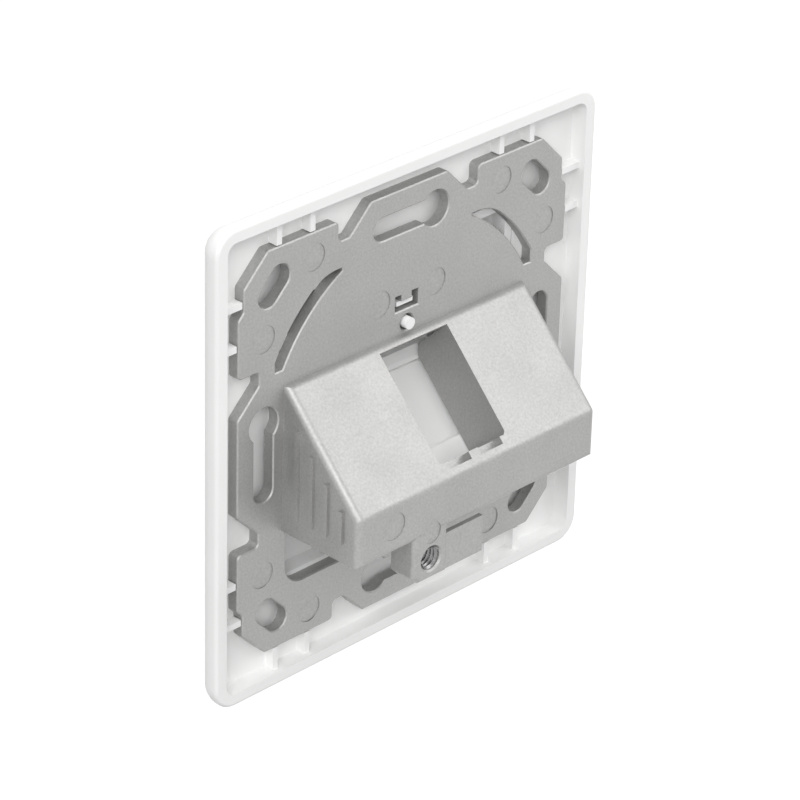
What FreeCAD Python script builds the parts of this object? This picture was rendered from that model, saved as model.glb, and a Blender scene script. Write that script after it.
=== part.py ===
"""Keystone faceplate for one data jack: cover frame, die-cast carrier with a sloped jack housing,
centre plate with an angled port bay, hinged dust flap, label card and its window.

Millimetres, +Z up, +X to the right seen from the room, +Y into the wall. The origin is the centre of the
wall screw pattern, on the back face of the carrier, where it bears on the wall box.
"""
import FreeCAD
import Part
import Sketcher
import math
import os

Vector = FreeCAD.Vector
Rotation = FreeCAD.Rotation

# Lines that FreeCAD draws along Y and along X start out along Z
ALONG_Y = Rotation(Vector(1, 0, 0), -90)
ALONG_X = Rotation(Vector(0, 1, 0), 90)
# Sketch planes: the plan is seen from the room, the profile from the side
PLAN_VIEW = Rotation(Vector(1, 0, 0), Vector(0, 0, 1), Vector(0, -1, 0), "ZXY")
SIDE_VIEW = Rotation(Vector(0, 1, 0), Vector(0, 0, 1), Vector(1, 0, 0), "ZXY")

document = FreeCAD.newDocument("keystone_faceplate")
sheet = document.addObject("Spreadsheet::Sheet", "sizes")


class Size:
    """A value together with its formula in the names of the sheet."""

    def __init__(self, value, formula=None):
        self.value = float(value)
        self.formula = formula or f"{self.value:g}"

    def joined(self, sign, other, value):
        return Size(value, f"({self.formula} {sign} {other.formula})")

    def __add__(self, other):
        other = as_size(other)
        return self.joined("+", other, self.value + other.value)

    def __sub__(self, other):
        other = as_size(other)
        return self.joined("-", other, self.value - other.value)

    def __mul__(self, other):
        other = as_size(other)
        return self.joined("*", other, self.value * other.value)

    def __truediv__(self, other):
        other = as_size(other)
        return self.joined("/", other, self.value / other.value)

    def __radd__(self, other):
        return as_size(other) + self

    def __rsub__(self, other):
        return as_size(other) - self

    def __rmul__(self, other):
        return as_size(other) * self

    def __neg__(self):
        return Size(-self.value, f"(-1 * {self.formula})")


def as_size(value):
    return value if isinstance(value, Size) else Size(value)


def sine(angle):
    return Size(math.sin(math.radians(angle.value)), f"sin({angle.formula} * 1deg)")


def cosine(angle):
    return Size(math.cos(math.radians(angle.value)), f"cos({angle.formula} * 1deg)")


# Cover frame
FRAME_SIZE = 81.0
FRAME_CORNER = 4.0
FRAME_SOFT_EDGE = 3.9
FRAME_RIM = 0.9
FRAME_RIM_ROUND = 0.6
FRAME_FACE = 2.0
FRAME_WALL = 2.2
RIB_WIDTH = 1.05
RIB_BELOW = 0.2
RIB_NEAR = 20.2
RIB_FAR = 27.0
SCREW_POCKET = 1.2
SCREW_POCKET_WIDTH = 7.6
SCREW_POCKET_LENGTH = 20.0

# Carrier plate; its outline is set back from the inside of the frame's wall
PLATE_THICKNESS = 2.0
LOBE_SETBACK = 2.9
NOTCH_SETBACK = 7.3
NOTCH_SIDE = 14.9
NOTCH_WIDTH = 2.3
CORNER_TOP_SETBACK = 4.0
CORNER_NARROW_SETBACK = 4.1
CORNER_WIDE_SETBACK = 3.0
CORNER_STEP_SETBACK = 12.5
CORNER_CHAMFER = 4.8
OUTLINE_ROUND = 0.8
EDGE_BREAK = 0.2
SCREW_SPACING = 60.0
SLOT_WIDTH = 3.9
SLOT_HEAD_WIDTH = 5.9
SLOT_THROW = 5.6
TIE_SLOT_SETBACK = 10.2
TIE_SLOT_WIDTH = 4.2
TIE_SLOT_TRAVEL = 3.1
ARC_SLOT_RADIUS = 29.5
ARC_SLOT_WIDTH = 2.3
ARC_SLOT_LEFT = 14.0
ARC_SLOT_RIGHT = 27.7
ARC_SLOT_LOW = 13.6
ARC_SLOT_HIGH = 26.4
ARC_SLOT_ROUND = 8.0
CLIP_SLOT_HALF = 2.5
CLIP_SLOT_LOW = 14.9
CLIP_SLOT_BAR = 1.5
CLIP_SLOT_ARM = 2.6
CLIP_TONGUE_HALF = 1.1
PIN_HEIGHT = 12.6
PIN_HOLE_WIDTH = 2.7
MARK_WIDTH = 4.6
MARK_DEPTH = 0.15
MARK_NEAR = 20.1
MARK_SETBACK = 8.1
MARK_INNER = 6.0
MARK_INNER_HEIGHT = 17.5
REAR_MARK_INSET = 7.5
REAR_MARK_RISE = 4.8
LUG_MARK_WIDTH = 3.8
LUG_MARK_HEIGHT = 13.5
LOWER_GAP_HALF = 25.2
LOWER_GAP_DROP = 10.2
LOWER_GAP_ROUND = 3.5

# Jack housing
HOUSING_HALF = 26.1
HOUSING_TOP = 10.8
HOUSING_BOTTOM = 14.0
HOUSING_DEPTH = 16.5
HOUSING_LEDGE = 1.0
HOUSING_WALL = 1.8
HOUSING_ROUND = 1.2
HOUSING_FLOOR_REACH = 7.3
SLOPE_ANGLE = 43.4
FLUTE_COUNT = 4
FLUTE_FIRST = 3.4
FLUTE_PITCH = 3.15
FLUTE_WIDTH = 0.8
FLUTE_HEIGHT = 0.5
FLUTE_DROP = 3.4
FLUTE_FOOT = 3.4

# Keystone opening in the slope, and the tube behind it
JACK_WIDTH = 14.7
JACK_START = 0.75
JACK_LENGTH = 19.2
JACK_CORNER = 0.5
JACK_DEPTH = 9.7
JACK_WALL = 1.5
JACK_TUBE_FRONT = 2.4
LATCH_NOTCH = 1.2
LATCH_NOTCH_INNER = 1.0
LATCH_NOTCH_OUTER = 5.9

# Earth lug and tab
LUG_RIGHT = 14.0
LUG_WIDTH = 7.3
LUG_BOTTOM = 21.7
LUG_THICKNESS = 5.0
LUG_CHAMFER = 1.2
LUG_ROUND = 0.9
LUG_HOLE_HEIGHT = 18.1
LUG_HOLE = 4.0
LUG_COUNTERSINK = 0.3
TAB_LENGTH = 8.1
TAB_WIDTH = 6.3
TAB_THICKNESS = 0.8
TAB_BOTTOM = 21.5
TAB_SETBACK = 0.5

# Centre plate
CENTRE_SIZE = 50.0
CENTRE_CLEARANCE = 0.2
CENTRE_PROUD = 2.4
CENTRE_THICKNESS = 1.6
CENTRE_SKIRT = 1.5
CENTRE_CORNER = 1.5
CENTRE_SOFT_EDGE = 1.0
BAY_HALF = 9.6
BAY_WALL = 1.4
BAY_START = 0.2
BAY_END = 18.7
HOOD_TOP = 9.5
HOOD_REACH = 2.5
HOOD_NOSE = 3.4
HOOD_SKIN = 1.2
PORT_WIDTH = 17.6
PORT_START = 2.6
PORT_LENGTH = 13.6
HOOK_HALF = 1.75
HOOK_THICKNESS = 0.75
HOOK_BELOW = 0.6
PIN_WIDTH = 1.95
PIN_PROUD = 0.8
FOOT_HALF = 4.0
FOOT_THICKNESS = 1.2
FIT_GAP = 0.15

# Label field
LABEL_LENGTH = 40.0
LABEL_HEIGHT = 9.0
LABEL_LOW = 12.5
LABEL_RECESS = 1.1
LABEL_CARD = 0.2
LABEL_BACKING = 0.6

# Dust flap
FLAP_THICKNESS = 1.3
FLAP_GAP = 0.3
HINGE_RADIUS = 1.15
HINGE_PIN_WIDTH = 1.6
HINGE_PIN_FIT = 0.1
HINGE_PIN_REACH = 0.8
LIP_HALF = 5.0
LIP_HEIGHT = 1.2
LIP_WIDTH = 1.1

def driving(row, name, value):
    """Writes one driving dimension into the sheet and returns it as a size."""
    alias = name.lower()
    sheet.set(f"A{row}", alias.replace("_", " "))
    sheet.set(f"B{row}", str(value))
    sheet.setAlias(f"B{row}", alias)
    return Size(value, f"sizes.{alias}")


# From here on each name above stands for its cell of the sheet
lengths = {name: value for name, value in globals().items() if name.isupper() and isinstance(value, float)}
for row, (name, value) in enumerate(lengths.items(), 1):
    globals()[name] = driving(row, name, value)

# Levels along Y from the wall towards the room, and half widths of the frame
PLATE_FRONT = -PLATE_THICKNESS
FRAME_FRONT = PLATE_FRONT - FRAME_FACE
CENTRE_FRONT = FRAME_FRONT - CENTRE_PROUD
CENTRE_BACK = CENTRE_FRONT + CENTRE_THICKNESS
FRAME_WINDOW = CENTRE_SIZE / 2 + CENTRE_CLEARANCE
FRAME_INSIDE = FRAME_SIZE / 2 - FRAME_WALL
CUT_PAST = Size(3)

# The carrier's outline and slots, measured from the centre
LOBE_REACH = FRAME_INSIDE - LOBE_SETBACK
NOTCH_FLOOR = FRAME_INSIDE - NOTCH_SETBACK
CORNER_TOP = FRAME_INSIDE - CORNER_TOP_SETBACK
CORNER_NARROW = FRAME_INSIDE - CORNER_NARROW_SETBACK
CORNER_WIDE = FRAME_INSIDE - CORNER_WIDE_SETBACK
CORNER_STEP = FRAME_INSIDE - CORNER_STEP_SETBACK
TIE_SLOT_PLACE = FRAME_INSIDE - TIE_SLOT_SETBACK
MARK_FAR = FRAME_INSIDE - MARK_SETBACK


def along_slope(along, inward):
    """The point (Y, Z) that lies so far down the housing's slope and so far in behind it."""
    y = HOUSING_LEDGE + along * sine(SLOPE_ANGLE) - inward * cosine(SLOPE_ANGLE)
    z = HOUSING_TOP - along * cosine(SLOPE_ANGLE) - inward * sine(SLOPE_ANGLE)
    return y, z


def inward_at(y, along):
    """How far in behind the slope the line at this distance down it meets the level y."""
    return (HOUSING_LEDGE + along * sine(SLOPE_ANGLE) - y) / cosine(SLOPE_ANGLE)


def along_at(y, inward):
    """How far down the slope the line at this distance behind it meets the level y."""
    return (y - HOUSING_LEDGE + inward * cosine(SLOPE_ANGLE)) / sine(SLOPE_ANGLE)


def bind(item, **formulas):
    """Binds properties to sizes: a double underscore in a name stands for a point."""
    for name, size in formulas.items():
        item.setExpression(name.replace("__", "."), as_size(size).formula)
    return item


def block(name, x, y, z):
    item = document.addObject("Part::Box", name)
    bind(item, Length=x[1] - x[0], Width=y[1] - y[0], Height=z[1] - z[0])
    return bind(item, Placement__Base__x=x[0], Placement__Base__y=y[0], Placement__Base__z=z[0])


def square(name, half, y):
    """A square block about the origin."""
    return block(name, (-half, half), y, (-half, half))


def rod(name, place, radius, y):
    """A round bar along Y, at the place (X, Z)."""
    item = document.addObject("Part::Cylinder", name)
    item.Placement = FreeCAD.Placement(Vector(), ALONG_Y)
    bind(item, Radius=radius, Height=y[1] - y[0])
    return bind(item, Placement__Base__x=place[0], Placement__Base__y=y[0], Placement__Base__z=place[1])


def axle(name, place, radius, x):
    """A round bar along X, at the place (Y, Z)."""
    item = document.addObject("Part::Cylinder", name)
    item.Placement = FreeCAD.Placement(Vector(), ALONG_X)
    bind(item, Radius=radius, Height=x[1] - x[0])
    return bind(item, Placement__Base__x=x[0], Placement__Base__y=place[0], Placement__Base__z=place[1])


def outline(name, points, view):
    """A closed sketch of straight lines whose corners are bound to their sizes."""
    sketch = document.addObject("Sketcher::SketchObject", name + "_outline")
    sketch.Placement = FreeCAD.Placement(Vector(), view)
    points = [(as_size(a), as_size(b)) for a, b in points]
    places = [Vector(a.value, b.value, 0) for a, b in points]
    for start, end in zip(places, places[1:] + places[:1]):
        sketch.addGeometry(Part.LineSegment(start, end), False)
    for line in range(len(points)):
        following = (line + 1) % len(points)
        sketch.addConstraint(Sketcher.Constraint("Coincident", line, 2, following, 1))
    for line, corner in enumerate(points):
        for kind, size in zip(("DistanceX", "DistanceY"), corner):
            number = sketch.addConstraint(Sketcher.Constraint(kind, line, 1, size.value))
            sketch.setExpression(f"Constraints[{number}]", size.formula)
    return sketch


def extruded(name, sketch, direction, length):
    item = document.addObject("Part::Extrusion", name)
    item.Base = sketch
    item.DirMode = "Custom"
    item.Dir = direction
    item.Solid = True
    return bind(item, LengthFwd=length)


def plan(name, points, y):
    """A plate with corners (X, Z), between two levels."""
    sketch = bind(outline(name, points, PLAN_VIEW), Placement__Base__y=y[1])
    return extruded(name, sketch, Vector(0, -1, 0), y[1] - y[0])


def profile(name, points, half):
    """A bar with corners (Y, Z), reaching equally far to both sides."""
    sketch = bind(outline(name, points, SIDE_VIEW), Placement__Base__x=-half)
    return extruded(name, sketch, Vector(1, 0, 0), 2 * half)


def slope_block(name, along, inward, half):
    """A block square to the slope."""
    ends = ((0, 0), (1, 0), (1, 1), (0, 1))
    return profile(name, [along_slope(along[a], inward[b]) for a, b in ends], half)


def joined(name, items):
    item = document.addObject("Part::MultiFuse", name)
    item.Shapes = items
    item.Refine = True
    return item


def cut(name, base, tools):
    item = document.addObject("Part::Cut", name)
    item.Base = base
    item.Tool = joined(name + "_tools", tools) if len(tools) > 1 else tools[0]
    item.Refine = True
    return item


def mirrored(name, source, normal):
    """The source and its mirror image about the origin, as one."""
    twin = document.addObject("Part::Mirroring", name + "_twin")
    twin.Source = source
    twin.Normal = normal
    return joined(name, [source, twin])


def treated(kind, name, source, size, wanted):
    """Rounds or breaks those edges of the source that the test picks."""
    document.recompute()
    item = document.addObject(kind, name)
    item.Base = source
    chosen = [number for number, edge in enumerate(source.Shape.Edges, 1) if wanted(edge)]
    item.Edges = [(number, size.value, size.value) for number in chosen]
    return item


def rounded(name, source, size, wanted):
    return treated("Part::Fillet", name, source, size, wanted)


def runs_along_y(edge):
    ends = [vertex.Point for vertex in edge.Vertexes]
    if len(ends) != 2 or edge.Curve.TypeId != "Part::GeomLine":
        return False
    return abs(ends[0].x - ends[1].x) + abs(ends[0].z - ends[1].z) < 1e-6


def lies_at(level):
    """Picks the edges that lie wholly at a level along Y."""
    def wanted(edge):
        box = edge.BoundBox
        return abs(box.YMin - level.value) < 1e-4 and abs(box.YMax - level.value) < 1e-4
    return wanted


def quarter_turned(place, quarters):
    """The place (X, Z) after quarter turns clockwise, seen from the room."""
    x, z = place
    for _ in range(quarters):
        x, z = z, -x
    return x, z


def quarter_block(name, corners, y, quarters):
    """A block between two opposite corners (X, Z), turned by quarters about the origin."""
    (xa, za), (xb, zb) = (quarter_turned(corner, quarters) for corner in corners)
    x = (xa, xb) if xa.value < xb.value else (xb, xa)
    z = (za, zb) if za.value < zb.value else (zb, za)
    return block(name, x, y, z)


def obround(name, place, travel, width, tilt, y):
    """A slot with round ends, tilted by so many degrees about Y."""
    tilt = Size(tilt)
    half_x = travel / 2 * cosine(tilt)
    half_z = travel / 2 * sine(tilt)
    bar = document.addObject("Part::Box", name + "_bar")
    bar.Placement = FreeCAD.Placement(Vector(), Rotation(Vector(0, 1, 0), tilt.value))
    bind(bar, Length=travel, Width=y[1] - y[0], Height=width)
    bind(bar, Placement__Base__x=place[0] - half_x - width / 2 * sine(tilt), Placement__Base__y=y[0],
         Placement__Base__z=place[1] + half_z - width / 2 * cosine(tilt))
    ends = [rod(f"{name}_end_{side}", (place[0] + sign * half_x, place[1] - sign * half_z), width / 2, y)
            for side, sign in (("a", 1), ("b", -1))]
    return joined(name, [bar] + ends)


def screw_slot(name, quarters, y):
    """One wall screw slot: a narrow slot with a wider head at one end."""
    place = quarter_turned((Size(0), SCREW_SPACING / 2), quarters)
    head = quarter_turned((-SLOT_THROW, SCREW_SPACING / 2), quarters)
    narrow = obround(name + "_narrow", place, SLOT_THROW * 2, SLOT_WIDTH, 90 * quarters, y)
    return joined(name, [narrow, rod(name + "_head", head, SLOT_HEAD_WIDTH / 2, y)])


def tie_slot(name, quarters, y):
    """One corner slot, tangential to the screw circle."""
    place = quarter_turned((TIE_SLOT_PLACE, TIE_SLOT_PLACE), quarters)
    return obround(name, place, TIE_SLOT_TRAVEL, TIE_SLOT_WIDTH, 45 + 90 * quarters, y)


def arc_slots(y):
    """The two curved slots in the upper quarters."""
    outer = rod("arc_outer", (Size(0), Size(0)), ARC_SLOT_RADIUS + ARC_SLOT_WIDTH, y)
    inner = rod("arc_inner", (Size(0), Size(0)), ARC_SLOT_RADIUS, y)
    band = cut("arc_band", outer, [inner])
    height = (ARC_SLOT_LOW, ARC_SLOT_HIGH)
    sides = [block("arc_right", (ARC_SLOT_LEFT, ARC_SLOT_RIGHT), y, height),
             block("arc_left", (-ARC_SLOT_RIGHT, -ARC_SLOT_LEFT), y, height)]
    item = document.addObject("Part::Common", "arc_blanks")
    item.Base = band
    item.Tool = joined("arc_windows", sides)
    outside = ARC_SLOT_RADIUS.value + ARC_SLOT_WIDTH.value / 2

    def upper_outer_corner(edge):
        place = edge.Vertexes[0].Point
        high = abs(place.z - ARC_SLOT_HIGH.value) < 1e-6
        return runs_along_y(edge) and high and math.hypot(place.x, place.z) > outside

    return rounded("arc_slots", item, ARC_SLOT_ROUND, upper_outer_corner)


def clip_slot(y):
    """The U-shaped slot that takes the centre plate's hook."""
    top = CLIP_SLOT_LOW + CLIP_SLOT_ARM
    bar_height = (CLIP_SLOT_LOW, CLIP_SLOT_LOW + CLIP_SLOT_BAR)
    bar = block("clip_bar", (-CLIP_SLOT_HALF, CLIP_SLOT_HALF), y, bar_height)
    right = block("clip_arm_right", (CLIP_TONGUE_HALF, CLIP_SLOT_HALF), y, (CLIP_SLOT_LOW, top))
    left = block("clip_arm_left", (-CLIP_SLOT_HALF, -CLIP_TONGUE_HALF), y, (CLIP_SLOT_LOW, top))
    return joined("clip_slot", [bar, right, left])


def lower_gap(y):
    """The opening in the plate under the housing, with rounded lower corners."""
    height = (-HOUSING_BOTTOM - LOWER_GAP_DROP, -HOUSING_BOTTOM)
    gap = block("lower_gap_block", (-LOWER_GAP_HALF, LOWER_GAP_HALF), y, height)
    bottom = height[0].value

    def lower_corner(edge):
        return runs_along_y(edge) and abs(edge.Vertexes[0].Point.z - bottom) < 1e-6

    return rounded("lower_gap", gap, LOWER_GAP_ROUND, lower_corner)


def carrier_plate():
    """The flat plate with its lobes, notches and slots."""
    flank = LOBE_REACH - NOTCH_FLOOR
    notch_inner = NOTCH_SIDE - NOTCH_WIDTH
    step = CORNER_WIDE - CORNER_NARROW
    corners = [
        (0, 0), (0, LOBE_REACH), (notch_inner - flank, LOBE_REACH), (notch_inner, NOTCH_FLOOR),
        (NOTCH_SIDE, NOTCH_FLOOR), (NOTCH_SIDE, CORNER_TOP), (CORNER_NARROW - CORNER_CHAMFER, CORNER_TOP),
        (CORNER_NARROW, CORNER_TOP - CORNER_CHAMFER), (CORNER_NARROW, CORNER_STEP),
        (CORNER_WIDE, CORNER_STEP - step), (CORNER_WIDE, NOTCH_SIDE), (NOTCH_FLOOR, NOTCH_SIDE),
        (NOTCH_FLOOR, notch_inner), (LOBE_REACH, notch_inner - flank), (LOBE_REACH, 0),
    ]
    quarter = plan("plate_quarter", corners, (PLATE_FRONT, Size(0)))
    half = mirrored("plate_half", quarter, Vector(1, 0, 0))
    whole = mirrored("plate_whole", half, Vector(0, 0, 1))
    blank = rounded("plate_blank", whole, OUTLINE_ROUND, runs_along_y)
    through = (PLATE_FRONT - CUT_PAST, CUT_PAST)
    slots = [screw_slot(f"screw_slot_{turn}", turn, through) for turn in range(4)]
    slots += [tie_slot(f"tie_slot_{turn}", turn, through) for turn in range(4)]
    slots += [arc_slots(through), clip_slot(through), lower_gap(through)]
    slots.append(rod("pin_hole", (Size(0), PIN_HEIGHT), PIN_HOLE_WIDTH / 2, through))
    slotted = cut("plate_slotted", blank, slots)
    return treated("Part::Chamfer", "plate", slotted, EDGE_BREAK, lies_at(Size(0)))


def housing_shell():
    """The wedge that carries the jack, hollow and open to the front."""
    rear_top = along_slope(along_at(HOUSING_DEPTH, Size(0)), Size(0))[1]
    wedge = profile("housing_wedge", [
        (PLATE_FRONT, HOUSING_TOP), (HOUSING_LEDGE, HOUSING_TOP), (HOUSING_DEPTH, rear_top),
        (HOUSING_DEPTH, -HOUSING_BOTTOM), (PLATE_FRONT, -HOUSING_BOTTOM)], HOUSING_HALF)
    soft = rounded("housing_soft", wedge, HOUSING_ROUND, lambda edge: edge.BoundBox.YMin > 0.01)
    inner_top = HOUSING_TOP - HOUSING_WALL
    inner_back = HOUSING_DEPTH - HOUSING_WALL
    inner_bottom = HOUSING_WALL - HOUSING_BOTTOM
    down_at_top = (HOUSING_TOP - HOUSING_WALL * sine(SLOPE_ANGLE) - inner_top) / cosine(SLOPE_ANGLE)
    past = PLATE_FRONT - CUT_PAST
    cavity = profile("housing_cavity", [
        (past, inner_top), (along_slope(down_at_top, HOUSING_WALL)[0], inner_top),
        (inner_back, along_slope(along_at(inner_back, HOUSING_WALL), HOUSING_WALL)[1]),
        (inner_back, inner_bottom), (past, inner_bottom)], HOUSING_HALF - HOUSING_WALL)
    inner_half = HOUSING_HALF - HOUSING_WALL
    mouth = block("housing_mouth", (-inner_half, inner_half), (past, HOUSING_DEPTH - HOUSING_FLOOR_REACH),
                  (-HOUSING_BOTTOM - CUT_PAST, inner_bottom + FIT_GAP))
    return soft, [cavity, mouth]


def jack_tube():
    """The two cheeks and the floor behind the keystone opening, cut off square at their front."""
    along = (JACK_START, JACK_START + JACK_LENGTH + JACK_WALL)
    tube = slope_block("jack_tube_block", along, (HOUSING_WALL / 2, JACK_DEPTH), JACK_WIDTH / 2 + JACK_WALL)
    front = PLATE_FRONT - JACK_TUBE_FRONT
    return cut("jack_tube", tube, [square("jack_tube_end", HOUSING_HALF, (front - HOUSING_DEPTH, front))])


def jack_opening():
    """The opening in the slope, with two latch notches past its lower edge."""
    inward = (-CUT_PAST, JACK_DEPTH + CUT_PAST)
    end = JACK_START + JACK_LENGTH
    blank = slope_block("jack_opening_block", (JACK_START, end), inward, JACK_WIDTH / 2)
    low = along_slope(end, inward[0])[1].value

    def lower_corner(edge):
        box = edge.BoundBox
        return box.XLength < 1e-6 and box.YLength > box.ZLength and box.ZMax < low + 1e-6

    tools = [treated("Part::Chamfer", "jack_opening", blank, JACK_CORNER, lower_corner)]
    notch = slope_block("latch_notches", (end - CUT_PAST, end + LATCH_NOTCH), (-CUT_PAST, HOUSING_WALL),
                        LATCH_NOTCH_OUTER)
    tongue = slope_block("latch_tongue", (end, end + LATCH_NOTCH + CUT_PAST),
                         (-CUT_PAST, HOUSING_WALL + CUT_PAST), LATCH_NOTCH_INNER)
    return tools + [cut("latch_notch_pair", notch, [tongue])]


def flutes():
    """The raised ribs on both sides of the housing."""
    ribs = []
    for number in range(FLUTE_COUNT):
        middle = FLUTE_FIRST + FLUTE_PITCH * number
        slope_height = along_slope(along_at(middle, Size(0)), Size(0))[1]
        depth = (middle - FLUTE_WIDTH / 2, middle + FLUTE_WIDTH / 2)
        height = (FLUTE_FOOT - HOUSING_BOTTOM, slope_height - FLUTE_DROP)
        outer = HOUSING_HALF + FLUTE_HEIGHT
        inner = HOUSING_HALF - HOUSING_WALL / 2
        ribs.append(block(f"flute_right_{number}", (inner, outer), depth, height))
        ribs.append(block(f"flute_left_{number}", (-outer, -inner), depth, height))
    return ribs


def earth_lug():
    """The lug with its threaded hole, and the flat tab beside it."""
    back = HOUSING_DEPTH
    left = LUG_RIGHT - LUG_WIDTH
    root = HOUSING_WALL / 2 - HOUSING_BOTTOM
    lug = plan("lug", [
        (left, root), (left, -LUG_BOTTOM), (LUG_RIGHT - LUG_CHAMFER, -LUG_BOTTOM),
        (LUG_RIGHT, LUG_CHAMFER - LUG_BOTTOM), (LUG_RIGHT, root)], (back - LUG_THICKNESS, back))

    def free_rim(edge):
        return lies_at(back)(edge) and edge.BoundBox.ZMin < root.value - 1e-6

    soft = rounded("lug_soft", lug, LUG_ROUND, free_rim)
    tab_back = back - TAB_SETBACK
    tab = block("tab", (left - TAB_LENGTH, left + LUG_WIDTH / 2), (tab_back - TAB_THICKNESS, tab_back),
                (-TAB_BOTTOM, TAB_WIDTH - TAB_BOTTOM))
    return [soft, tab]


def lug_hole():
    """The threaded hole's bore and its countersink."""
    place = (LUG_RIGHT - LUG_WIDTH / 2, -LUG_HOLE_HEIGHT)
    depth = (HOUSING_DEPTH - LUG_THICKNESS - CUT_PAST, HOUSING_DEPTH + CUT_PAST)
    bore = rod("lug_bore", place, LUG_HOLE / 2, depth)
    sink = document.addObject("Part::Cone", "lug_sink")
    sink.Placement = FreeCAD.Placement(Vector(), ALONG_Y)
    bind(sink, Radius1=LUG_HOLE / 2, Radius2=LUG_HOLE / 2 + LUG_COUNTERSINK, Height=LUG_COUNTERSINK)
    bind(sink, Placement__Base__x=place[0], Placement__Base__z=place[1],
         Placement__Base__y=HOUSING_DEPTH - LUG_COUNTERSINK)
    return [bore, sink]


def ejector_marks():
    """The shallow round marks that the ejector pins leave in the casting."""
    places = [(x, MARK_INNER_HEIGHT) for x in (MARK_INNER, -MARK_INNER)]
    for turn in range(4):
        places.append(quarter_turned((MARK_NEAR, MARK_FAR), turn))
        places.append(quarter_turned((MARK_FAR, MARK_NEAR), turn))
    plate_depth = (-MARK_DEPTH, CUT_PAST)
    marks = [rod(f"mark_{number}", place, MARK_WIDTH / 2, plate_depth)
             for number, place in enumerate(places)]
    rear_depth = (HOUSING_DEPTH - MARK_DEPTH, HOUSING_DEPTH + CUT_PAST)
    rear = (HOUSING_HALF - REAR_MARK_INSET, REAR_MARK_RISE - HOUSING_BOTTOM)
    lug = (LUG_RIGHT - LUG_WIDTH / 2, -LUG_MARK_HEIGHT)
    marks.append(rod("mark_rear", rear, MARK_WIDTH / 2, rear_depth))
    marks.append(rod("mark_lug", lug, LUG_MARK_WIDTH / 2, rear_depth))
    return marks


def carrier():
    plate = carrier_plate()
    soft, hollows = housing_shell()
    outer = joined("carrier_outer", [plate, soft] + flutes() + earth_lug())
    hollowed = cut("carrier_hollowed", outer, hollows)
    filled = joined("carrier_filled", [hollowed, jack_tube()])
    return cut("carrier", filled, jack_opening() + lug_hole() + ejector_marks())


def locating_ribs():
    """The ribs that run in from the frame's wall and hold the carrier in place."""
    level = (PLATE_FRONT - FRAME_FACE / 2, -RIB_BELOW)
    outer = FRAME_INSIDE + FRAME_WALL / 4
    starts = {"near": (RIB_NEAR, CORNER_WIDE), "far": (RIB_FAR, CORNER_NARROW)}
    ribs = []
    for place_name, (place, side_edge) in starts.items():
        for hand, centre in (("a", place), ("b", -place)):
            across = (centre - RIB_WIDTH / 2, centre + RIB_WIDTH / 2)
            top_start = CORNER_TOP + FIT_GAP
            side_start = side_edge + FIT_GAP
            name = f"rib_{place_name}_{hand}"
            ribs.append(block(name + "_top", across, level, (top_start, outer)))
            ribs.append(block(name + "_bottom", across, level, (-outer, -top_start)))
            ribs.append(block(name + "_right", (side_start, outer), level, across))
            ribs.append(block(name + "_left", (-outer, -side_start), level, across))
    return ribs


def screw_pockets():
    """Room behind the carrier's slots for the heads of the screws."""
    level = (PLATE_FRONT - SCREW_POCKET, CUT_PAST)
    middle = SCREW_SPACING / 2
    corners = ((-SCREW_POCKET_LENGTH / 2, middle - SCREW_POCKET_WIDTH / 2),
               (SCREW_POCKET_LENGTH / 2, middle + SCREW_POCKET_WIDTH / 2))
    pockets = [quarter_block(f"screw_pocket_{turn}", corners, level, turn) for turn in range(4)]
    for turn in range(4):
        place = quarter_turned((TIE_SLOT_PLACE, TIE_SLOT_PLACE), turn)
        pockets.append(rod(f"tie_pocket_{turn}", place, TIE_SLOT_WIDTH / 2 + TIE_SLOT_TRAVEL, level))
    return pockets


def cover_frame():
    """The white frame, a shallow tray open to the back with a square window."""
    blank = square("frame_block", FRAME_SIZE / 2, (FRAME_FRONT, FRAME_RIM))
    cornered = rounded("frame_cornered", blank, FRAME_CORNER, runs_along_y)
    fronted = rounded("frame_fronted", cornered, FRAME_SOFT_EDGE, lies_at(FRAME_FRONT))
    soft = rounded("frame_soft", fronted, FRAME_RIM_ROUND, lies_at(FRAME_RIM))
    well = square("frame_well_block", FRAME_INSIDE, (PLATE_FRONT, FRAME_RIM + CUT_PAST))
    well = rounded("frame_well", well, FRAME_CORNER - FRAME_WALL, runs_along_y)
    tray = cut("frame_tray", soft, [well])
    ribbed = joined("frame_ribbed", [tray] + locating_ribs())
    window = square("frame_window_block", FRAME_WINDOW, (FRAME_FRONT - CUT_PAST, CUT_PAST))
    window = rounded("frame_window", window, CENTRE_CORNER + CENTRE_CLEARANCE, runs_along_y)
    return cut("cover_frame", ribbed, [window] + screw_pockets())


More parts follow.
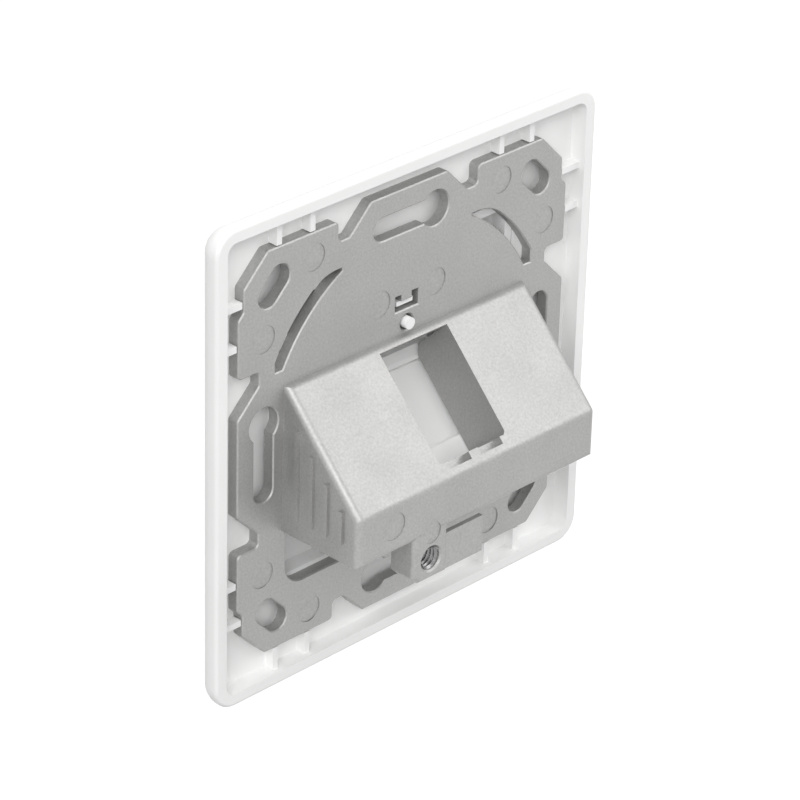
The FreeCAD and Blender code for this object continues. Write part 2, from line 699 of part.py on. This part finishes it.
def port_bay():
    """The angled bay: hood, cheeks, slanted wall and ramp, and the space inside it."""
    wall_back = JACK_DEPTH + FIT_GAP
    wall_front = wall_back + BAY_WALL
    ramp_back = BAY_END + BAY_WALL
    hood_inward = wall_front + HINGE_RADIUS * 2 + FIT_GAP
    hood_front = CENTRE_FRONT - HOOD_REACH
    hood_along = along_at(hood_front, hood_inward)
    outer = profile("bay_outer", [
        (CENTRE_BACK, HOOD_TOP), (CENTRE_FRONT, HOOD_TOP), (hood_front, HOOD_NOSE),
        along_slope(hood_along, hood_inward),
        along_slope(along_at(CENTRE_FRONT, hood_inward), hood_inward),
        along_slope(ramp_back, inward_at(CENTRE_FRONT, ramp_back)),
        along_slope(ramp_back, wall_back),
        along_slope(along_at(CENTRE_BACK, wall_back), wall_back)], BAY_HALF + BAY_WALL)
    reach = inward_at(CENTRE_FRONT, BAY_END) + CUT_PAST * 2
    space = slope_block("bay_space", (BAY_START, BAY_END), (wall_front, reach), BAY_HALF)
    port = slope_block("bay_port", (PORT_START, PORT_START + PORT_LENGTH),
                       (wall_back - CUT_PAST, wall_front + CUT_PAST), PORT_WIDTH / 2)
    core_nose = HOOD_NOSE + HOOD_SKIN
    core = profile("hood_core", [
        (CENTRE_BACK, HOOD_TOP - HOOD_SKIN), (CENTRE_FRONT + HOOD_SKIN / 2, HOOD_TOP - HOOD_SKIN),
        (hood_front + HOOD_SKIN * 1.5, core_nose), (CENTRE_BACK, core_nose)], BAY_HALF)
    return outer, [space, port, core]


def hinge_place():
    """The dust flap's hinge axis, as (Y, Z)."""
    wall_front = JACK_DEPTH + FIT_GAP + BAY_WALL
    return along_slope(BAY_START + FIT_GAP + HINGE_RADIUS, wall_front + FIT_GAP + HINGE_RADIUS)


def centre_plate():
    """The square centre plate with its skirt, bay, label recess and fixings."""
    half = CENTRE_SIZE / 2
    blank = square("centre_block", half, (CENTRE_FRONT, PLATE_FRONT))
    cornered = rounded("centre_cornered", blank, CENTRE_CORNER, runs_along_y)
    soft = rounded("centre_soft", cornered, CENTRE_SOFT_EDGE, lies_at(CENTRE_FRONT))
    well = square("centre_well", half - CENTRE_SKIRT, (CENTRE_BACK, PLATE_FRONT + CUT_PAST))
    tray = cut("centre_tray", soft, [well])
    bay, spaces = port_bay()
    label_half = LABEL_LENGTH / 2
    label_top = LABEL_LOW + LABEL_HEIGHT
    backing_half = label_half + CENTRE_SKIRT
    backing = block("label_backing_pad", (-backing_half, backing_half),
                    (CENTRE_BACK, CENTRE_BACK + LABEL_BACKING),
                    (LABEL_LOW - CENTRE_SKIRT, label_top + CENTRE_SKIRT))
    hook_top = CLIP_SLOT_LOW + CLIP_SLOT_BAR - FIT_GAP
    hook = block("hook", (-HOOK_HALF, HOOK_HALF), (CENTRE_BACK, -HOOK_BELOW),
                 (hook_top - HOOK_THICKNESS, hook_top))
    pin = rod("pin", (Size(0), PIN_HEIGHT), PIN_WIDTH / 2, (CENTRE_BACK, PIN_PROUD))
    foot_low = -HOUSING_BOTTOM - LOWER_GAP_DROP + FIT_GAP
    foot = block("foot", (-FOOT_HALF, FOOT_HALF), (CENTRE_BACK, -HOOK_BELOW),
                 (foot_low, foot_low + FOOT_THICKNESS))
    solid = joined("centre_solid", [tray, bay, backing, hook, pin, foot])
    recess = block("label_recess_block", (-label_half, label_half),
                   (CENTRE_FRONT - CUT_PAST, CENTRE_FRONT + LABEL_RECESS), (LABEL_LOW, label_top))
    pin_reach = BAY_HALF + HINGE_PIN_REACH + HINGE_PIN_FIT
    holes = axle("hinge_holes", hinge_place(), HINGE_PIN_WIDTH / 2 + HINGE_PIN_FIT, (-pin_reach, pin_reach))
    return cut("centre_plate", solid, spaces + [recess, holes])


def dust_flap():
    """The hinged flap that closes the port, with its pins and finger lip."""
    back = JACK_DEPTH + FIT_GAP + BAY_WALL + FIT_GAP
    front = back + FLAP_THICKNESS
    end = BAY_END - FLAP_GAP
    half = BAY_HALF - FLAP_GAP
    hinge_along = BAY_START + FIT_GAP + HINGE_RADIUS
    leaf = slope_block("flap_leaf", (hinge_along, end), (back, front), half)
    lip = slope_block("flap_lip", (end - LIP_WIDTH, end), (back, front + LIP_HEIGHT), LIP_HALF)
    barrel = axle("flap_barrel", hinge_place(), HINGE_RADIUS, (-half, half))
    pin_half = BAY_HALF + HINGE_PIN_REACH
    pins = axle("flap_pins", hinge_place(), HINGE_PIN_WIDTH / 2, (-pin_half, pin_half))
    return joined("dust_flap", [leaf, lip, barrel, pins])


def label_card():
    half = LABEL_LENGTH / 2 - FIT_GAP
    floor = CENTRE_FRONT + LABEL_RECESS
    height = (LABEL_LOW + FIT_GAP, LABEL_LOW + LABEL_HEIGHT - FIT_GAP)
    return block("label_card", (-half, half), (floor - LABEL_CARD, floor), height)


def label_window():
    """The clear window over the card, flush with the plate, with softened front edges."""
    half = LABEL_LENGTH / 2 - FIT_GAP
    level = (CENTRE_FRONT, CENTRE_FRONT + LABEL_RECESS - LABEL_CARD)
    height = (LABEL_LOW + FIT_GAP, LABEL_LOW + LABEL_HEIGHT - FIT_GAP)
    pane = block("label_pane", (-half, half), level, height)
    return treated("Part::Chamfer", "label_window", pane, EDGE_BREAK, lies_at(CENTRE_FRONT))


def check(pieces):
    """Stops if any object failed, or a piece is not one valid solid."""
    document.recompute()
    for item in document.Objects:
        if "Invalid" in item.State or "Error" in item.State:
            raise RuntimeError(f"{item.Name} failed: {item.State}")
    for piece in pieces:
        shape = piece.Shape
        if shape.isNull() or not shape.isValid() or len(shape.Solids) != 1:
            raise RuntimeError(f"{piece.Label} is not one valid solid")


def main():
    pieces = [carrier(), cover_frame(), centre_plate(), dust_flap(), label_card(), label_window()]
    check(pieces)
    os.makedirs("parts", exist_ok=True)
    for piece in pieces:
        piece.Shape.exportStep(f"parts/{piece.Label}.step")
        box = piece.Shape.BoundBox
        print(f"{piece.Label}: {piece.Shape.Volume:.1f} mm3, X {box.XMin:.2f} to {box.XMax:.2f}, "
              f"Y {box.YMin:.2f} to {box.YMax:.2f}, Z {box.ZMin:.2f} to {box.ZMax:.2f}")
    y, z = hinge_place()
    print(f"hinge axis at Y {y.value:.4f}, Z {z.value:.4f}")


main()
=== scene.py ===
"""Looks of the keystone faceplate: cast zinc, white moulded plastic, a cut thread and a label under its window."""

import math

import bmesh
import bpy
from mathutils import Matrix, Vector


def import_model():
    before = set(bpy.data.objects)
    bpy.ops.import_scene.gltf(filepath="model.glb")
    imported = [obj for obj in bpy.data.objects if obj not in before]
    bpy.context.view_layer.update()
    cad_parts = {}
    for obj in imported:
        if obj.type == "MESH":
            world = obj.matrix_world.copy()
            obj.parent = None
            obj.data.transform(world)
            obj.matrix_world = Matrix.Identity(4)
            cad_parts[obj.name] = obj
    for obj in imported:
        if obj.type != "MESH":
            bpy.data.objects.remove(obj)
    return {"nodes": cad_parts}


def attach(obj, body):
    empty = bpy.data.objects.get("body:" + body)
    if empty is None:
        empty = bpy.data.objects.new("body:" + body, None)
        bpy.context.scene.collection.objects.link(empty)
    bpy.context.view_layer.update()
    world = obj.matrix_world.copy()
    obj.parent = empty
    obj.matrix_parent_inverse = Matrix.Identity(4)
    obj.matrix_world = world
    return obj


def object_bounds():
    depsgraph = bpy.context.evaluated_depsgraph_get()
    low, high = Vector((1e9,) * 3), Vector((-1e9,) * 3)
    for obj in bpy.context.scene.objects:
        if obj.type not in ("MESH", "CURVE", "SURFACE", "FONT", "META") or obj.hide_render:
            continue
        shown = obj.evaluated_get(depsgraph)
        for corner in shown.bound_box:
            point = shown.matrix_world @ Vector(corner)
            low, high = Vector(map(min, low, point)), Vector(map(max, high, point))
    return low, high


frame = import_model()
cad_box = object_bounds()

MM = 0.001

# Camera, fitted to the photograph: angles in degrees, lengths in metres, lens and sensor in millimetres
VIEW_SIDE = 46.06
VIEW_HEIGHT = 28.17
VIEW_ROLL = 1.53
VIEW_DISTANCE = 0.601
VIEW_TARGET = Vector((1.03 * MM, 0.0, -0.58 * MM))
VIEW_NEAR = 0.05
VIEW_FAR = 20.0
VIEW_LENS = 175.455
SENSOR = 36.0

# Earth lug thread, in millimetres: where the hole is, the depths it runs between, and its radii
THREAD_PLACE = (10.35, -18.1)
THREAD_FROM = 11.6
THREAD_TO = 16.1
THREAD_WALL = 2.0
THREAD_CREST = 1.64
THREAD_PITCH = 0.7
# Half widths of the ridge at the wall and at its crest, in pitches
RIDGE_FOOT = 0.5
RIDGE_TOP = 0.06
STEPS_PER_TURN = 48

# Soft lights: place in metres, side in metres, power in watts
KEY_LIGHT = ((1.3, 1.0, 1.0), 1.2, 20.5)
TOP_LIGHT = ((-0.9, 0.8, 1.0), 1.0, 7.5)

# Soft light of the surroundings, with its tone below and above by height
STUDIO_STRENGTH = 0.86
STUDIO_TONES = ((0.0, 0.3), (0.5, 1.0))

# The floor: how far it lies under the part and its side in metres, its grey and its glow
FLOOR_DROP = 0.16
FLOOR_SIDE = 30.0
FLOOR_GREY = 0.3
FLOOR_GLOW = 0.75
FLOOR_ROUGHNESS = 0.9
FLOOR_SPECULAR = 0.1

# Noise: features per metre, detail and, where it isn't a half, roughness
# Tones: positions in the noise, each with its colour or value. Bumps: height in metres and strength
ZINC_METAL = 0.7
ZINC_GRAIN = (2600.0, 3.0, 0.6)
ZINC_GRAIN_TONES = ((0.32, (0.385, 0.385, 0.378, 1)), (0.68, (0.465, 0.465, 0.457, 1)))
ZINC_GRAIN_BUMP = (0.03 * MM, 0.35)
ZINC_CLOUDS = (120.0, 4.0, 0.55)
ZINC_CLOUD_TONES = ((0.3, (0.90, 0.90, 0.90, 1)), (0.7, (1.0, 1.0, 1.0, 1)))
ZINC_CLOUD_BUMP = (0.08 * MM, 0.3)
ZINC_ROUGHNESS = ((0.3, 0.46), (0.7, 0.58))

THREAD_METAL = 1.0
THREAD_MARKS = (3500.0, 2.0)
# Thread base colours, kept dark: painted shade standing in for the shade inside the lug's hole
THREAD_PAINTED_SHADE_TONES = ((0.3, (0.20, 0.20, 0.20, 1)), (0.7, (0.30, 0.30, 0.30, 1)))
THREAD_ROUGHNESS = ((0.3, 0.22), (0.7, 0.36))
THREAD_BUMP = (0.02 * MM, 0.3)

PLASTIC_ROUGHNESS = 0.42
PLASTIC_SPECULAR = 0.45
PLASTIC_GRAIN = (1500.0, 2.0)
PLASTIC_BUMP = (0.01 * MM, 0.3)
PLASTIC_CLOUDS = (60.0, 3.0)
PLASTIC_TONES = ((0.3, (0.875, 0.877, 0.87, 1)), (0.7, (0.905, 0.906, 0.90, 1)))

PAPER_ROUGHNESS = 0.8
PAPER_FIBRES = (900.0, 5.0, 0.7)
PAPER_TONES = ((0.3, (0.83, 0.82, 0.79, 1)), (0.7, (0.90, 0.89, 0.86, 1)))
PAPER_BUMP = (0.02 * MM, 0.4)

WINDOW_TINT = (0.96, 0.98, 0.98, 1)
WINDOW_ROUGHNESS = 0.04
WINDOW_IOR = 1.49
WINDOW_WAVES = (80.0, 1.0)
WINDOW_BUMP = (0.05 * MM, 0.2)


def principled(name):
    """A new material and its nodes, with the shader at hand."""
    material = bpy.data.materials.new(name)
    material.use_nodes = True
    nodes = material.node_tree.nodes
    return material, nodes, material.node_tree.links, nodes["Principled BSDF"]


def object_space(nodes, links, scale, detail, roughness=0.5):
    """Noise that stays on the piece; the scale is in features per metre."""
    place = nodes.new("ShaderNodeTexCoord")
    noise = nodes.new("ShaderNodeTexNoise")
    noise.inputs["Scale"].default_value = scale
    noise.inputs["Detail"].default_value = detail
    noise.inputs["Roughness"].default_value = roughness
    links.new(place.outputs["Object"], noise.inputs["Vector"])
    return noise.outputs["Fac"]


def ramp(nodes, links, source, stops):
    """Maps a value to colours; the stops are (position, grey or colour)."""
    node = nodes.new("ShaderNodeValToRGB")
    for number, (position, colour) in enumerate(stops):
        point = node.color_ramp.elements[number]
        point.position = position
        point.color = colour if isinstance(colour, tuple) else (colour, colour, colour, 1)
    links.new(source, node.inputs["Fac"])
    return node.outputs["Color"]


def bumped(nodes, links, shader, height, distance, strength, below=None):
    """A bump on the shader's normal, over another bump if there is one."""
    node = nodes.new("ShaderNodeBump")
    node.inputs["Distance"].default_value = distance
    node.inputs["Strength"].default_value = strength
    links.new(height, node.inputs["Height"])
    if below is not None:
        links.new(below, node.inputs["Normal"])
    links.new(node.outputs["Normal"], shader.inputs["Normal"])
    return node.outputs["Normal"]


def multiplied(nodes, links, first, second):
    """The product of two colours."""
    node = nodes.new("ShaderNodeMix")
    node.data_type = "RGBA"
    node.blend_type = "MULTIPLY"
    node.inputs["Factor"].default_value = 1.0
    links.new(first, node.inputs["A"])
    links.new(second, node.inputs["B"])
    return node.outputs["Result"]


def cast_zinc():
    """Tumbled die-cast zinc: a fine grain that glints, with faint clouds and flow marks."""
    material, nodes, links, shader = principled("cast_zinc")
    shader.inputs["Metallic"].default_value = ZINC_METAL
    grain = object_space(nodes, links, *ZINC_GRAIN)
    clouds = object_space(nodes, links, *ZINC_CLOUDS)
    grain_tone = ramp(nodes, links, grain, ZINC_GRAIN_TONES)
    cloud_tone = ramp(nodes, links, clouds, ZINC_CLOUD_TONES)
    links.new(multiplied(nodes, links, grain_tone, cloud_tone), shader.inputs["Base Color"])
    links.new(ramp(nodes, links, clouds, ZINC_ROUGHNESS), shader.inputs["Roughness"])
    fine = bumped(nodes, links, shader, grain, *ZINC_GRAIN_BUMP)
    bumped(nodes, links, shader, clouds, *ZINC_CLOUD_BUMP, fine)
    return material


def tapped_zinc():
    """The thread cut into the casting: bare metal, shinier, with tool marks; its base colour is kept dark, painted
    shade for the deep hole.
    """
    material, nodes, links, shader = principled("tapped_zinc")
    shader.inputs["Metallic"].default_value = THREAD_METAL
    marks = object_space(nodes, links, *THREAD_MARKS)
    # The dark base colour is painted shade for the inside of the hole
    links.new(ramp(nodes, links, marks, THREAD_PAINTED_SHADE_TONES), shader.inputs["Base Color"])
    links.new(ramp(nodes, links, marks, THREAD_ROUGHNESS), shader.inputs["Roughness"])
    bumped(nodes, links, shader, marks, *THREAD_BUMP)
    return material


def white_plastic():
    """White moulded plastic, satin, with a faint texture."""
    material, nodes, links, shader = principled("white_plastic")
    shader.inputs["Roughness"].default_value = PLASTIC_ROUGHNESS
    shader.inputs["Specular IOR Level"].default_value = PLASTIC_SPECULAR
    grain = object_space(nodes, links, *PLASTIC_GRAIN)
    clouds = object_space(nodes, links, *PLASTIC_CLOUDS)
    links.new(ramp(nodes, links, clouds, PLASTIC_TONES), shader.inputs["Base Color"])
    bumped(nodes, links, shader, grain, *PLASTIC_BUMP)
    return material


def label_paper():
    """Blank paper with fine fibres."""
    material, nodes, links, shader = principled("label_paper")
    shader.inputs["Roughness"].default_value = PAPER_ROUGHNESS
    fibres = object_space(nodes, links, *PAPER_FIBRES)
    links.new(ramp(nodes, links, fibres, PAPER_TONES), shader.inputs["Base Color"])
    bumped(nodes, links, shader, fibres, *PAPER_BUMP)
    return material


def clear_window():
    """Clear polished plastic with faint waves in its surface."""
    material, nodes, links, shader = principled("clear_window")
    shader.inputs["Base Color"].default_value = WINDOW_TINT
    shader.inputs["Roughness"].default_value = WINDOW_ROUGHNESS
    shader.inputs["Transmission Weight"].default_value = 1.0
    shader.inputs["IOR"].default_value = WINDOW_IOR
    bumped(nodes, links, shader, object_space(nodes, links, *WINDOW_WAVES), *WINDOW_BUMP)
    return material


def dressed(node_name, material):
    """Gives a solid's mesh its material."""
    piece = frame["nodes"][node_name]
    piece.data.materials.clear()
    piece.data.materials.append(material)


def thread_ridge(material):
    """The helical ridge of the cut thread inside the lug's hole."""
    turns = (THREAD_TO - THREAD_FROM) / THREAD_PITCH
    count = int(turns * STEPS_PER_TURN)
    mesh = bmesh.new()
    section = ((THREAD_WALL, -RIDGE_FOOT), (THREAD_CREST, -RIDGE_TOP), (THREAD_CREST, RIDGE_TOP),
               (THREAD_WALL, RIDGE_FOOT))
    rings = []
    for step in range(count + 1):
        angle = 2 * math.pi * step / STEPS_PER_TURN
        depth = THREAD_FROM + THREAD_PITCH * step / STEPS_PER_TURN
        ring = []
        for radius, offset in section:
            x = THREAD_PLACE[0] + radius * math.cos(angle)
            z = THREAD_PLACE[1] + radius * math.sin(angle)
            y = depth + offset * THREAD_PITCH
            ring.append(mesh.verts.new((x * MM, y * MM, z * MM)))
        rings.append(ring)
    for before, after in zip(rings, rings[1:]):
        for here in range(len(section)):
            beside = (here + 1) % len(section)
            mesh.faces.new((before[here], before[beside], after[beside], after[here]))
    mesh.faces.new(rings[0])
    mesh.faces.new(list(reversed(rings[-1])))
    bmesh.ops.recalc_face_normals(mesh, faces=mesh.faces)
    data = bpy.data.meshes.new("lug_thread")
    mesh.to_mesh(data)
    mesh.free()
    piece = bpy.data.objects.new("lug_thread", data)
    bpy.context.scene.collection.objects.link(piece)
    data.materials.append(material)
    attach(piece, "faceplate")


def camera():
    """The photograph's camera: behind the part, above it and to its side."""
    side, height, roll = (math.radians(angle) for angle in (VIEW_SIDE, VIEW_HEIGHT, VIEW_ROLL))
    back = Vector((math.sin(side) * math.cos(height), math.cos(side) * math.cos(height), math.sin(height)))
    level = Vector((-math.cos(side), math.sin(side), 0.0))
    rise = back.cross(level)
    right = math.cos(roll) * level + math.sin(roll) * rise
    up = -math.sin(roll) * level + math.cos(roll) * rise
    turn = Matrix((right, up, back)).transposed().to_4x4()
    data = bpy.data.cameras.new("camera")
    data.sensor_width = SENSOR
    data.lens = VIEW_LENS
    data.clip_start = VIEW_NEAR
    data.clip_end = VIEW_FAR
    item = bpy.data.objects.new("camera", data)
    bpy.context.scene.collection.objects.link(item)
    item.matrix_world = Matrix.Translation(VIEW_TARGET + VIEW_DISTANCE * back) @ turn
    bpy.context.scene.camera = item


def softbox(name, place, size, power):
    """A square soft light aimed at the part."""
    data = bpy.data.lights.new(name, "AREA")
    data.size = size
    data.energy = power
    item = bpy.data.objects.new(name, data)
    bpy.context.scene.collection.objects.link(item)
    item.location = place
    item.rotation_mode = "QUATERNION"
    item.rotation_quaternion = (-Vector(place)).to_track_quat("-Z", "Y")


def direct_rays(nodes, links):
    """1 for what the camera sees directly, in a metal or through glass, and 0 for soft light."""
    rays = nodes.new("ShaderNodeLightPath")
    total = rays.outputs["Is Camera Ray"]
    for kind in ("Is Glossy Ray", "Is Transmission Ray"):
        both = nodes.new("ShaderNodeMath")
        both.operation = "MAXIMUM"
        links.new(total, both.inputs[0])
        links.new(rays.outputs[kind], both.inputs[1])
        total = both.outputs["Value"]
    return total


def world():
    """A white studio: its soft light falls off towards the floor."""
    item = bpy.data.worlds.new("studio")
    item.use_nodes = True
    nodes = item.node_tree.nodes
    links = item.node_tree.links
    background = nodes["Background"]
    place = nodes.new("ShaderNodeTexCoord")
    split = nodes.new("ShaderNodeSeparateXYZ")
    links.new(place.outputs["Generated"], split.inputs["Vector"])
    links.new(ramp(nodes, links, split.outputs["Z"], STUDIO_TONES), background.inputs["Color"])
    background.inputs["Strength"].default_value = STUDIO_STRENGTH
    white = nodes.new("ShaderNodeBackground")
    white.inputs["Color"].default_value = (1, 1, 1, 1)
    white.inputs["Strength"].default_value = 1.0
    both = nodes.new("ShaderNodeMixShader")
    links.new(direct_rays(nodes, links), both.inputs["Fac"])
    links.new(background.outputs["Background"], both.inputs[1])
    links.new(white.outputs["Background"], both.inputs[2])
    links.new(both.outputs["Shader"], nodes["World Output"].inputs["Surface"])
    bpy.context.scene.world = item


def floor():
    """A plain pale floor that comes out white to the camera and keeps the part's shadow."""
    bpy.ops.mesh.primitive_plane_add(size=FLOOR_SIDE, location=(0.0, 0.0, cad_box[0].z - FLOOR_DROP))
    item = bpy.context.object
    item.name = "floor"
    material, nodes, links, shader = principled("floor")
    shader.inputs["Base Color"].default_value = (FLOOR_GREY, FLOOR_GREY, FLOOR_GREY, 1)
    shader.inputs["Roughness"].default_value = FLOOR_ROUGHNESS
    shader.inputs["Specular IOR Level"].default_value = FLOOR_SPECULAR
    glow = nodes.new("ShaderNodeEmission")
    glow.inputs["Color"].default_value = (1, 1, 1, 1)
    glow.inputs["Strength"].default_value = FLOOR_GLOW
    lit = nodes.new("ShaderNodeAddShader")
    links.new(shader.outputs["BSDF"], lit.inputs[0])
    links.new(glow.outputs["Emission"], lit.inputs[1])
    both = nodes.new("ShaderNodeMixShader")
    links.new(direct_rays(nodes, links), both.inputs["Fac"])
    links.new(shader.outputs["BSDF"], both.inputs[1])
    links.new(lit.outputs["Shader"], both.inputs[2])
    links.new(both.outputs["Shader"], nodes["Material Output"].inputs["Surface"])
    item.data.materials.append(material)


zinc = cast_zinc()
plastic = white_plastic()
dressed("carrier", zinc)
dressed("cover_frame", plastic)
dressed("centre_plate", plastic)
dressed("dust_flap", plastic)
dressed("label_card", label_paper())
dressed("label_window", clear_window())
thread_ridge(tapped_zinc())

camera()
softbox("key", *KEY_LIGHT)
softbox("top", *TOP_LIGHT)
world()
floor()
bpy.context.scene.view_settings.view_transform = "Standard"
